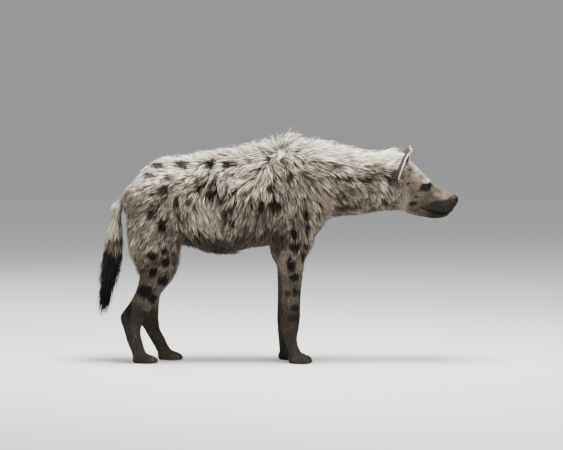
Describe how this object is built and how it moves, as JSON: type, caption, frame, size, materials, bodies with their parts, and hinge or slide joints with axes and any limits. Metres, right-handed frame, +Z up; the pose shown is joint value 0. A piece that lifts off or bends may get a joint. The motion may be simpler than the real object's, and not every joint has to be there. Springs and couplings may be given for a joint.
{
  "type": "spotted hyena",
  "caption": "Standing spotted hyena with a sloping back, shaggy mane, round ears and a hanging tail, made as a still life-size model.",
  "frame": {"origin": "on the floor, under the middle of the box round the whole animal", "axes": "+X towards the nose, along the longest extent; +Y towards the animal's left, across the shortest extent; +Z up"},
  "size_m": [1.2834, 0.2659, 0.8163],
  "materials": {
    "head_coat": "short matt fur",
    "neck_coat": "long pale mane",
    "body_coat": "shaggy spotted fur",
    "upper_leg_coat": "spotted fur",
    "lower_leg_coat": "short fur",
    "foot_coat": "short dark fur",
    "tail_coat": "short fur",
    "tuft_coat": "long coarse black hair",
    "ear_coat": "thin short fur",
    "eye": "wet gloss",
    "nose_skin": "moist bare skin"
  },
  "bodies": {
    "root": {"head": "head_coat", "nose": "nose_skin", "eye_left": "eye", "eye_right": "eye", "ear_left": "ear_coat", "ear_right": "ear_coat", "neck": "neck_coat", "torso": "body_coat", "tail_dock": "tail_coat", "tail_tuft": "tuft_coat", "shoulder_left": "upper_leg_coat", "shoulder_right": "upper_leg_coat", "forearm_left": "lower_leg_coat", "forearm_right": "lower_leg_coat", "forepaw_left": "foot_coat", "forepaw_right": "foot_coat", "thigh_left": "upper_leg_coat", "thigh_right": "upper_leg_coat", "shank_left": "lower_leg_coat", "shank_right": "lower_leg_coat", "hind_pastern_left": "foot_coat", "hind_pastern_right": "foot_coat", "hind_paw_left": "foot_coat", "hind_paw_right": "foot_coat"}
  },
  "joints": []
}
